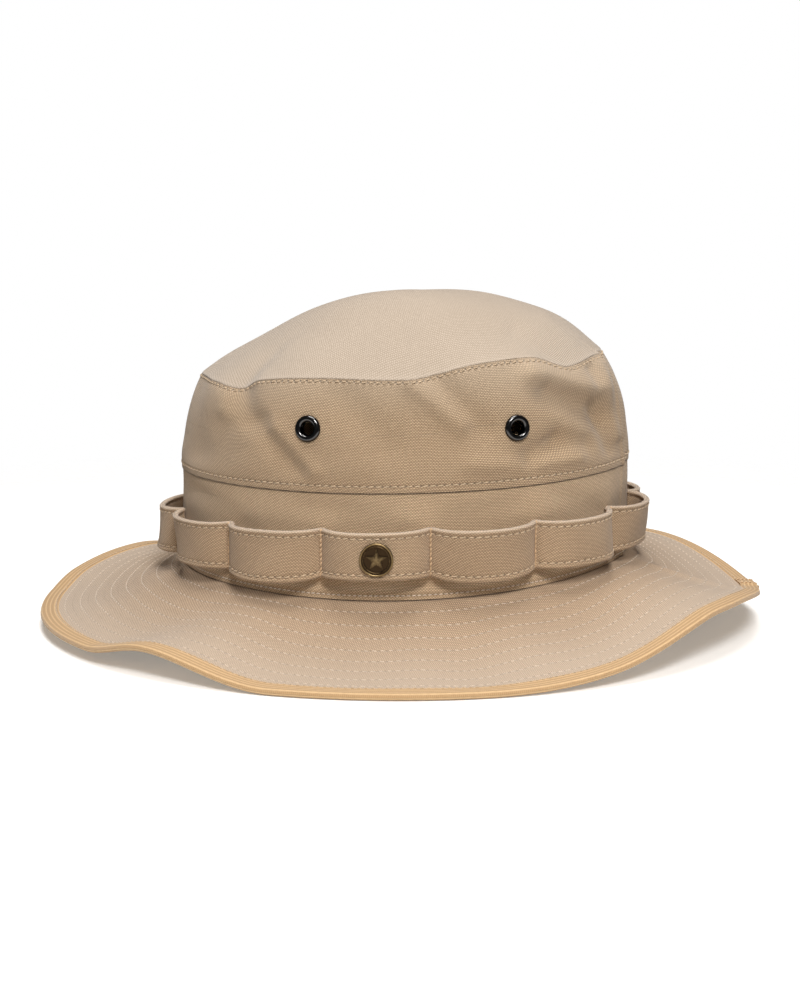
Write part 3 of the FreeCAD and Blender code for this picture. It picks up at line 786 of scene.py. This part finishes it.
def crown_band():
    fold = fold_arc(-0.2 * mm, 0.75 * mm, 0.45 * mm)
    up = np.concatenate((np.arange(0.5, 7.5, 0.4), np.linspace(8, 48.4, 36))) * mm
    lift = 0.95 * mm * (1 - ease((up - 3.6 * mm) / (2.4 * mm))) - 0.2 * mm
    lift -= 0.2 * mm * bell(up, FOOT_ROW, GROOVE)
    outer = np.vstack((fold, np.stack((up, lift), axis=-1))) / [BAND_HEIGHT, 1]
    cloth_piece("crown_band_cloth", band_twill_painted_light, "twill", "crown_band", 720, walled(outer, CROWN_CLOTH, 16),
                round_crown(band_skin), strip_map(BAND_HEIGHT),
                lambda u, up: (u * FOOT_STITCHES, up * BAND_HEIGHT - FOOT_ROW), band_seam_shade)

    def row_skin(share, aside, lift):
        return band_skin(band_turn(share), (FOOT_ROW + aside) / BAND_HEIGHT, lift + 0.6 * mm)
    row = stitch_row(row_skin, FOOT_STITCHES, fill=0.64, proud=0.32 * mm, slant=0.05 * mm)
    stitches("foot_stitches", [row], pale_thread, thick=0.28 * mm)


# ---------------------------------------------------------------- strip of loops

def smoothed(points, width):
    """A closed line of points blurred over a few of its neighbours."""
    offsets = np.arange(-3 * width, 3 * width + 1)
    weights = np.exp(-(offsets / width) ** 2)
    weights /= weights.sum()
    return sum(weight * np.roll(points, offset, axis=0) for weight, offset in zip(weights, offsets))


LOOP_POINTS = 400


def strip_line():
    """The strip's middle line in plan, and how open and which loop it is at each point."""
    start = math.asin((LOOP_TACK - CROWN_BACK) / BAND[0])
    shares = np.linspace(0, 1, 3601)
    first = np.interp(start, band_turn(shares) - ROUND, shares) if start < band_turn(0) else 0
    random = np.random.RandomState(21)
    bulges = LOOP_BULGE * random.uniform(0.93, 1.07, LOOPS)
    bulges[0] = LOOP_BULGE
    bulges[10] = LOOP_BULGE + 1.5 * mm
    bulges[11] = LOOP_BULGE - 1.2 * mm
    lines, openings = [], []
    for loop in range(LOOPS):
        along = np.sin(np.linspace(-1, 1, LOOP_POINTS, endpoint=False) * math.pi / 2)
        turn = band_turn(first + (loop + (along + 1) / 2) / LOOPS)
        open_out = (1 - np.minimum(1, np.abs(along) / 0.96) ** 2.5) ** 0.78
        x, y, out_x, out_y = oval(turn, *BAND)
        outward = TACK_LIFT + (bulges[loop] - TACK_LIFT) * open_out
        lines.append(np.stack((x + out_x * outward, y + out_y * outward), axis=-1))
        openings.append(open_out)
    return np.concatenate(lines), np.concatenate(openings), np.repeat(np.arange(LOOPS), LOOP_POINTS)


def even_strip():
    """The strip's line resampled at even steps and blurred a little at its tacks."""
    line, opened, number = strip_line()
    closed = np.vstack((line, line[:1]))
    travelled = np.concatenate(([0], np.cumsum(np.linalg.norm(np.diff(closed, axis=0), axis=1))))
    steps = 3900
    wanted = np.linspace(0, travelled[-1], steps, endpoint=False)
    even = np.stack([np.interp(wanted, travelled, closed[:, axis]) for axis in (0, 1)], axis=-1)
    even = smoothed(even, 4)
    opened = smoothed(np.interp(wanted, travelled, np.append(opened, opened[0])), 5)
    number = np.interp(wanted, travelled, np.append(number, 0)).round().astype(int)
    ahead = np.roll(even, -1, axis=0) - np.roll(even, 1, axis=0)
    ahead /= np.linalg.norm(ahead, axis=1, keepdims=True)
    outward = smoothed(np.stack((ahead[:, 1], -ahead[:, 0]), axis=-1), 5)
    outward /= np.linalg.norm(outward, axis=1, keepdims=True)
    tack_places = [travelled[LOOP_POINTS * loop] / travelled[-1] for loop in range(LOOPS)]
    return even, outward, opened, number, travelled[-1], tack_places


STRIP, STRIP_OUT, STRIP_OPEN, STRIP_LOOP, STRIP_ROUND, TACKS = even_strip()
LOOP_FLARE = np.random.RandomState(5).uniform(-1.0, 1.0, LOOPS)
LOOP_DROP = np.full((LOOPS, 2), (0.3, 0.8)) * mm        # how far a loop's lower and upper edges hang
LOOP_DROP[0] = (-0.5 * mm, 0.6 * mm)
LOOP_DROP[1] = (2.6 * mm, 0.9 * mm)
LOOP_DROP[3] = (-0.4 * mm, 0.8 * mm)
LOOP_DROP[12] = (2.2 * mm, 0.6 * mm)
STRIP_STITCHES = int(STRIP_ROUND / STRIP_STITCH)
STRIP_ROW = 0.75                      # how far its stitch rows stand from its middle line, of half its height


def strip_skin(share, up, lift=0.0):
    """A point of the strip: share of the way along it, up from 0 to 1, lift off its middle layer."""
    count = len(STRIP)
    place = (share % 1.0) * count
    before = np.floor(place).astype(int) % count
    after = (before + 1) % count
    part = np.expand_dims(place - np.floor(place), -1)
    spot = STRIP[before] * (1 - part) + STRIP[after] * part
    out = STRIP_OUT[before] * (1 - part) + STRIP_OUT[after] * part
    opened = STRIP_OPEN[before]
    flare = LOOP_FLARE[STRIP_LOOP[before]] * opened
    crumple = lumps(stack(spot[..., 0], spot[..., 1], up * STRIP_HEIGHT), 22 * mm, 17) * 0.35 * mm
    away = np.expand_dims(lift + flare * (up - 0.5) * 2.2 * mm + crumple, -1)
    spot = spot + out * away
    foot = STRIP_FOOT + (spot[..., 1] - CROWN_BACK) * STRIP_TILT
    low, high = LOOP_DROP[STRIP_LOOP[before]].T
    sag = opened * (low + (high - low) * up)
    return stack(spot[..., 0], spot[..., 1], foot + up * STRIP_HEIGHT - sag)


def loop_strip():
    half = STRIP_CLOTH / 2
    girth = 2 * (STRIP_HEIGHT + STRIP_CLOTH)

    def shape(u, v, lift):
        """Round the strip's section: up its outer face, over the fold, down its inner face."""
        angle = v * ROUND
        tall = tallness(v)
        flat = np.clip(np.abs(np.sin(angle)) * 2.6, 0, 1) ** 0.7 * np.sign(np.sin(angle))
        edge_roll = 0.35 * mm * bell(np.abs(tall), 0.90, 0.06)
        groove = -0.25 * mm * bell(np.abs(tall), STRIP_ROW, 0.03)
        return strip_skin(u, 0.5 + 0.5 * tall, flat * (half + edge_roll + groove) + lift)

    def tallness(v):
        return -np.sign(np.cos(v * ROUND)) * np.abs(np.cos(v * ROUND)) ** 0.9

    def layout(u, v):
        height = (0.5 + 0.5 * tallness(v)) * STRIP_HEIGHT
        return u * STRIP_ROUND, np.where(v < 0.5, height, girth - height)

    def stitch_layout(u, v):
        return u * STRIP_STITCHES, (np.abs(tallness(v)) - STRIP_ROW) * STRIP_HEIGHT / 2

    def wear_and_shading(v):
        """The folded edges are painted pale, upper more than lower: a painted highlight where the light from
        above catches them.
        """
        return -0.45 * ease((tallness(v) - 0.88) / 0.1) - 0.2 * ease((-tallness(v) - 0.9) / 0.1)
    cloth_piece("loop_strip_cloth", loop_twill, "loop_twill", "loop_strip", 1560,
                level_section(np.linspace(0, 1, 61)), shape, layout, stitch_layout, wear_and_shading)

    def row_skin(side):
        def skin(share, aside, lift):
            up = 0.5 + side * STRIP_ROW / 2 + aside / STRIP_HEIGHT
            return strip_skin(share, up, lift + half - 0.18 * mm)
        return skin
    stitches("strip_stitches", [stitch_row(row_skin(side), STRIP_STITCHES) for side in (-1, 1)], tan_thread,
             "loop_twill", thick=0.32 * mm)

    def tack_skin(place):
        def skin(up, aside, lift):
            return strip_skin(place + aside / STRIP_ROUND, 0.02 + 0.97 * up, lift + half + 0.1 * mm)
        return skin
    stitches("tack_stitches", [stitch_row(tack_skin(place), 10, fill=0.95, proud=0.3 * mm, slant=0.4 * mm)
                               for place in TACKS], rust_thread, "loop_twill", thick=0.38 * mm)


# ---------------------------------------------------------------- brim

def brim_quilting(share):
    """How far the stitched rows draw the cloth in."""
    return sum(0.06 * mm * bell((share - row) * BRIM_WIDTH, 0, 0.8 * mm) for row in BRIM_ROWS)


def row_count(row):
    """How many stitches go round a row of the brim."""
    _, length = even_turns(BAND[0] + (BRIM[0] - BAND[0]) * row, BAND[1] + (BRIM[1] - BAND[1]) * row)
    return round(length / BRIM_STITCH)


ROW_COUNTS = [row_count(row) for row in BRIM_ROWS]


def brim_stitch_map(u, share):
    nearest = np.argmin([np.abs(share - row) for row in BRIM_ROWS], axis=0)
    return u * np.array(ROW_COUNTS)[nearest], (share - np.array(BRIM_ROWS)[nearest]) * BRIM_WIDTH


def brim_layer(name, face, node):
    """One skin of the brim; face is 1 for the top and -1 for the underside."""
    share = np.linspace(0.985, 0.0, 110) if face > 0 else np.linspace(0.0, 0.985, 80)
    outer = np.stack((share, HALF_BRIM - brim_quilting(share)), axis=-1)

    def shape(u, up, lift):
        return brim_skin(brim_turn(u), up, face * lift)

    def layout(u, up):
        turn = brim_turn(u)
        return ((BAND[1] + (BRIM[1] - BAND[1]) * up) * np.cos(turn),
                (BAND[0] + (BRIM[0] - BAND[0]) * up) * np.sin(turn))

    def wear_and_shading(up):
        """Painted shade in the seam at the crown, and paler towards the edge, partly wear and partly painted
        light that leaves the cloth near the crown darker as if in its shade.
        """
        return 0.8 * ease(1 - up / 0.012) - 0.42 * ease((up - 0.1) / 0.8)
    cloth_piece(name, brim_twill, "twill", node, 720, walled(outer, BRIM_CLOTH, 14), shape, layout,
                brim_stitch_map, wear_and_shading)


def brim_core():
    def shape(u, v, lift):
        angle = v * ROUND
        share = 0.5 - 0.480 * np.cos(angle)
        return brim_skin(brim_turn(u), share, -0.42 * mm * np.clip(np.sin(angle) * 8, -1, 1))
    girth = 0.13
    cloth_piece("brim_interlining_cloth", buckram, "interlining", "brim_interlining", 360,
                level_section(np.linspace(0, 1, 41)), shape, lambda u, up: (u * BRIM_ROUND, up * girth))


def brim():
    brim_layer("brim_top_cloth", 1, "brim_top")
    brim_layer("brim_bottom_cloth", -1, "brim_bottom")
    brim_core()

    def row_skin(row, face):
        def skin(share, aside, lift):
            across = np.full_like(share, row + aside / BRIM_WIDTH)
            return brim_skin(brim_turn(share), across, face * (HALF_BRIM - 0.1 * mm + lift))
        return skin
    for name, face in (("brim_stitches", 1), ("brim_under_stitches", -1)):
        rows = [stitch_row(row_skin(row, face), count, fill=0.74, proud=0.1 * mm)
                for row, count in zip(BRIM_ROWS, ROW_COUNTS)]
        stitches(name, rows, pale_thread, thick=0.175 * mm)


# Binding: a ribbed tape folded over the edge, from its join near the back all the way round.

JOIN_TURN = 87.0
JOIN_SHARE = np.interp(math.radians(JOIN_TURN), brim_turn(np.linspace(0, 1, 721)), np.linspace(0, 1, 721))
BINDING_NOSE = HALF_BRIM - 0.15 * mm + BINDING_CLOTH
BINDING_FLAT = BINDING_WIDTH - BINDING_NOSE
BINDING_GIRTH = 2 * BINDING_FLAT + math.pi * BINDING_NOSE
BINDING_STITCHES = 345
BINDING_ROW = 1.2 * mm                # from the tape's edge
RIB_PITCH = 1.9 * mm


def binding_skin(share, across, lift=0.0):
    """Share runs along the tape; across, in metres, runs over it from its top edge to its lower one."""
    turn = brim_turn(JOIN_SHARE + share)
    arc = math.pi * BINDING_NOSE
    on_top = across < BINDING_FLAT
    below = across > BINDING_FLAT + arc
    angle = np.clip((across - BINDING_FLAT) / BINDING_NOSE, 0, math.pi)
    nose = BINDING_NOSE + lift
    inset = np.where(on_top, BINDING_WIDTH - across, BINDING_NOSE - nose * np.sin(angle))
    inset = np.where(below, BINDING_NOSE + across - BINDING_FLAT - arc, inset)
    height = np.where(on_top, nose, np.where(below, -nose, nose * np.cos(angle)))
    return brim_skin(turn, 1 - inset / BRIM_WIDTH, height)


def binding():
    overlap = 0.0125
    across = np.linspace(0, BINDING_GIRTH, 76)
    ribs = 0.2 * mm * bell((across / RIB_PITCH + 0.5) % 1, 0.5, 0.28)
    edges = 0.45 * mm * (bell(across, 0, 0.5 * mm) + bell(across, BINDING_GIRTH, 0.5 * mm))
    outer = np.stack((across, ribs - edges), axis=-1)

    def shape(u, up, lift):
        slant = 0.004 * (0.5 - up / BINDING_GIRTH)
        share = u * (1 + overlap + slant)
        over = ease((share - 0.9965) / 0.004) * 1.0 * mm
        end = -0.4 * mm * ease(1 - (1 - u) / 0.0012)
        return binding_skin(share, up, lift + over + end)

    def stitch_layout(u, up):
        off_row = np.minimum(np.abs(up - BINDING_ROW), np.abs(BINDING_GIRTH - up - BINDING_ROW))
        return u * BINDING_STITCHES, off_row
    edge_round = BRIM_ROUND * 1.22
    cloth_piece("brim_binding_tape", binding_tape, "binding_tape", "brim_binding", 1040,
                walled(outer, BINDING_CLOTH, 14), shape, lambda u, up: (u * edge_round, up), stitch_layout)

    def row_skin(place):
        def skin(share, aside, lift):
            return binding_skin(share, np.full_like(share, place + aside), lift + 0.05 * mm)
        return skin
    rows = [stitch_row(row_skin(place), BINDING_STITCHES, proud=0.2 * mm)
            for place in (BINDING_ROW, BINDING_GIRTH - BINDING_ROW)]
    stitches("binding_stitches", rows, tan_thread, "binding_tape", thick=0.22 * mm)

    def end_skin(from_end):
        def skin(up, aside, lift):
            place = 1.0 + overlap - (from_end - aside) / BRIM_ROUND
            return binding_skin(np.full_like(up, place), up * BINDING_GIRTH, lift + 1.1 * mm)
        return skin
    rows = [stitch_row(end_skin(from_end), 9, fill=0.85, proud=0.25 * mm)
            for from_end in (1.6 * mm, 9.6 * mm)]
    stitches("join_stitches", rows, rust_thread, "binding_tape", thick=0.3 * mm)


# ---------------------------------------------------------------- metal

def spun(name, outline, places, material, slot, nodes, wear_and_top_light=(0.2 * mm, 1.2 * mm), facets=64, relief=None):
    """A piece turned about local +Z from (radius, height) points, once at each place."""
    for node, place in zip(nodes, places):
        bm = bmesh.new()
        verts = [bm.verts.new((radius, 0, height)) for radius, height in outline]
        edges = [bm.edges.new(pair) for pair in zip(verts, verts[1:])]
        bmesh.ops.spin(bm, geom=verts + edges, axis=(0, 0, 1), cent=(0, 0, 0), steps=facets,
                       angle=ROUND, use_merge=True)
        bmesh.ops.remove_doubles(bm, verts=bm.verts, dist=0.001 * mm)
        if relief:
            relief(bm)
        bmesh.ops.recalc_face_normals(bm, faces=bm.faces)
        polish = bm.verts.layers.float.new("polish")
        for vert in bm.verts:
            vert[polish] = min(1.0, max(0.0, (vert.co.z - wear_and_top_light[0]) / (wear_and_top_light[1] - wear_and_top_light[0])))
        bmesh.ops.transform(bm, matrix=place, verts=bm.verts)
        title = f"{name}_{node}" if len(nodes) > 1 else name
        mesh = bpy.data.meshes.new(title)
        bm.to_mesh(mesh)
        bm.free()
        finish_piece(title, mesh, material, slot, node)
        mesh.set_sharp_from_angle(angle=math.radians(38))


def arc_points(centre, radius, start, stop, steps):
    """Points of an arc in (radius, height), angles in degrees."""
    angles = np.radians(np.linspace(start, stop, steps))
    return [(centre[0] + radius * math.cos(angle), centre[1] + radius * math.sin(angle)) for angle in angles]


def closed_ring(outline):
    return outline + outline[:1]


def eyelets():
    places = vent_places()
    roll = (EYELET_RIM - EYELET_HOLE) / 2
    rim = arc_points((EYELET_HOLE + roll, 0.15 * mm), roll, 0, 180, 15)
    barrel = EYELET_HOLE + 0.35 * mm
    throat = [(EYELET_HOLE, -2.4 * mm), (barrel, -2.4 * mm), (barrel, -0.15 * mm),
              (EYELET_RIM - 0.2 * mm, -0.15 * mm)]
    spun("eyelet", closed_ring(rim + throat), list(places.values()), gunmetal, "eyelet_metal",
         [f"eyelet_{where}" for where in places])
    bore = EYELET_HOLE + 0.4 * mm
    washer = [(bore, -1.3 * mm), (4.4 * mm, -1.3 * mm), (4.9 * mm, -1.5 * mm), (4.7 * mm, -1.7 * mm),
              (bore, -1.75 * mm)]
    spun("washer", closed_ring(washer), list(places.values()), gunmetal, "eyelet_metal",
         [f"eyelet_washer_{where}" for where in places])


def star(bm):
    """A plain raised star in the middle of the stud."""
    points = bmesh.ops.create_circle(bm, cap_ends=True, segments=10, radius=4.8 * mm)["verts"]
    for inner_corner in points[::2]:
        inner_corner.co *= 0.42
    bmesh.ops.translate(bm, vec=(0, 0, 0.05 * mm), verts=points)
    face = points[0].link_faces[0]
    raised = bmesh.ops.extrude_face_region(bm, geom=[face])["geom"]
    top = [piece for piece in raised if isinstance(piece, bmesh.types.BMVert)]
    bmesh.ops.translate(bm, vec=(0, 0, 0.75 * mm), verts=top)
    cap = [piece for piece in raised if isinstance(piece, bmesh.types.BMFace)]
    bmesh.ops.poke(bm, faces=cap, offset=0.3 * mm)


def stud():
    """A brass stud: a double rim round a sunk face with a plain star."""
    from_middle = 1.6 * mm
    middle = np.array([(TACKS[0] + TACKS[1]) / 2 + from_middle / STRIP_ROUND])
    spot = strip_skin(middle, 0.46, STRIP_CLOTH / 2)[0]
    outer = strip_skin(middle, 0.46, STRIP_CLOTH)[0]
    outward = Vector(outer - spot).normalized()
    level = Vector((0, 0, 1)).cross(outward).normalized()
    turned = Matrix((level, outward.cross(level), outward)).transposed().to_4x4()
    place = Matrix.Translation(Vector(spot) + outward * 0.7 * mm) @ turned
    outline = [(0.0, -0.6 * mm), (7.1 * mm, -0.6 * mm)]
    outline += arc_points((6.75 * mm, 0.75 * mm), 0.45 * mm, -30, 190, 9)
    outline += arc_points((5.65 * mm, 0.55 * mm), 0.3 * mm, 20, 190, 8)
    outline += [(5.3 * mm, 0.2 * mm), (0.0, 0.15 * mm)]
    spun("stud_cap_brass", outline, [place], aged_brass, "stud_brass", ["stud_cap"],
         (0.5 * mm, 1.35 * mm), 96, star)
    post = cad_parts["stud_post"].data
    post.materials.clear()
    post.materials.append(aged_brass)


# ---------------------------------------------------------------- linings

def ring_cloth(name, skin, cloth_thickness, slot, node, tall):
    """A strip of lining lying round the inside of the crown; skin takes turn and a share up it."""
    columns, rows = 480, 16
    up = np.linspace(0, 1, rows + 1)
    section = walled(level_section(up), cloth_thickness, rows // 2)
    cloth_piece(name, lining, slot, node, columns, section, round_crown(skin), strip_map(tall))


def linings():
    inside = -CROWN_CLOTH - 0.6 * mm
    sweat_tall = 35 * mm

    def sweat(turn, up, lift=0.0):
        lean = 0.8 * mm * ease(up) * (1 + 0.4 * np.sin(5 * turn))
        rolled = 0.4 * mm * bell(up, 0.97, 0.03)
        return band_skin(turn, -0.06 + up * sweat_tall / BAND_HEIGHT, inside - lean + rolled + lift)
    ring_cloth("sweatband_cloth", sweat, 1.0 * mm, "sweatband_cloth", "sweatband", sweat_tall)

    def tip_tape(turn, up, lift):
        return side_skin(turn, 0.73 + 0.25 * up, lift - CROWN_CLOTH - 0.4 * mm)
    ring_cloth("tip_tape_cloth", tip_tape, 0.6 * mm, "lining_tape", "tip_seam_tape", 12 * mm)

    def patch(name, width, skin, material, slot, node, tall):
        """A small flat piece inside the back of the crown."""
        reach = width / BAND_ROUND

        def shape(u, up, lift):
            return skin(band_turn(0.25 - reach / 2 + reach * u), up)
        piece = cloth_piece(name, material, slot, node, 24, level_section(np.linspace(0, 1, 25)), shape,
                            lambda u, up: (u * width, up * tall), closed=False)
        thicken(piece, 0.5 * mm)

    def back_tape(turn, up):
        return side_skin(turn, 0.02 + 0.68 * up, -CROWN_CLOTH - 0.4 * mm)

    def label(turn, up):
        """On the sweatband's inner face, a little nearer the middle of the hat."""
        return sweat(turn, 0.45 + 0.45 * up) * [1, 0.985, 1]
    patch("back_tape_cloth", 12 * mm, back_tape, lining, "lining_tape", "back_seam_tape", 36 * mm)
    patch("size_label_cloth", 26 * mm, label, label_cloth, "label_cloth", "size_label", 16 * mm)


crown_side()
crown_tip()
crown_band()
loop_strip()
brim()
binding()
eyelets()
stud()
linings()


# ---------------------------------------------------------------- floor, light and camera

def floor():
    """White paper that runs out into the white behind it."""
    bm = bmesh.new()
    bmesh.ops.create_grid(bm, x_segments=1, y_segments=1, size=1.5)
    bmesh.ops.translate(bm, vec=(0, 0, -0.1 * mm), verts=bm.verts)
    mesh = bpy.data.meshes.new("floor")
    bm.to_mesh(mesh)
    bm.free()
    plane = bpy.data.objects.new("floor", mesh)
    bpy.context.scene.collection.objects.link(plane)
    material, tree, shader = new_material("white_paper", 0.95)
    shader.inputs["Base Color"].default_value = (0.90, 0.90, 0.895, 1)
    shader.inputs["Specular IOR Level"].default_value = 0.0
    length = add(tree, "ShaderNodeVectorMath", {0: object_place(tree)}, operation="LENGTH").outputs["Value"]
    feed(tree, fade(tree, length, 0.25, 0.6, 1.0, 0.0), shader.inputs["Alpha"])
    # Painted light: to the camera the floor glows a warm tint outside the hat's middle, lifting its shadows
    # and warming them like light bounced off the brim.
    shader.inputs["Emission Color"].default_value = (1.0, 0.91, 0.80, 1)
    seen = add(tree, "ShaderNodeLightPath").outputs["Is Camera Ray"]
    painted_bounce_glow = fade(tree, length, 0.10, 0.13, 0.0, 0.3)
    feed(tree, maths(tree, "MULTIPLY", seen, painted_bounce_glow), shader.inputs["Emission Strength"])
    mesh.materials.append(material)


def softbox(name, place, aim, size, power):
    light = bpy.data.lights.new(name, "AREA")
    light.shape = "RECTANGLE"
    light.size, light.size_y = size
    light.energy = power
    lamp = bpy.data.objects.new(name, light)
    lamp.location = place
    lamp.rotation_euler = (Vector(aim) - Vector(place)).to_track_quat("-Z", "Y").to_euler()
    bpy.context.scene.collection.objects.link(lamp)


def studio():
    """A white surround that only dimly lights the hat, and soft lights from above."""
    world = bpy.data.worlds.new("studio")
    bpy.context.scene.world = world
    world.use_nodes = True
    tree = world.node_tree
    surround = tree.nodes["Background"]
    surround.inputs["Color"].default_value = (1.0, 1.0, 1.0, 1)
    seen = add(tree, "ShaderNodeLightPath").outputs["Is Camera Ray"]
    dim = 0.07
    feed(tree, maths(tree, "ADD", maths(tree, "MULTIPLY", seen, 1 - dim), dim), surround.inputs["Strength"])
    softbox("overhead", (0.15, -0.03, 1.5), (0, 0, 0.05), (0.75, 0.75), 15.9)
    softbox("front", (1.05, 0.15, 1.0), (0, 0, 0.08), (0.4, 0.4), 15.2)
    bpy.context.scene.view_settings.view_transform = "Standard"


def camera():
    elevation = math.radians(9.5)
    distance = 0.790
    aim = Vector((0, 0, 54.8 * mm))
    lens = bpy.data.cameras.new("camera")
    lens.lens = 60
    lens.sensor_width = 36
    view = bpy.data.objects.new("camera", lens)
    view.location = aim + distance * Vector((math.cos(elevation), 0, math.sin(elevation)))
    view.rotation_euler = (aim - view.location).to_track_quat("-Z", "Y").to_euler()
    bpy.context.scene.collection.objects.link(view)
    bpy.context.scene.camera = view


floor()
studio()
camera()
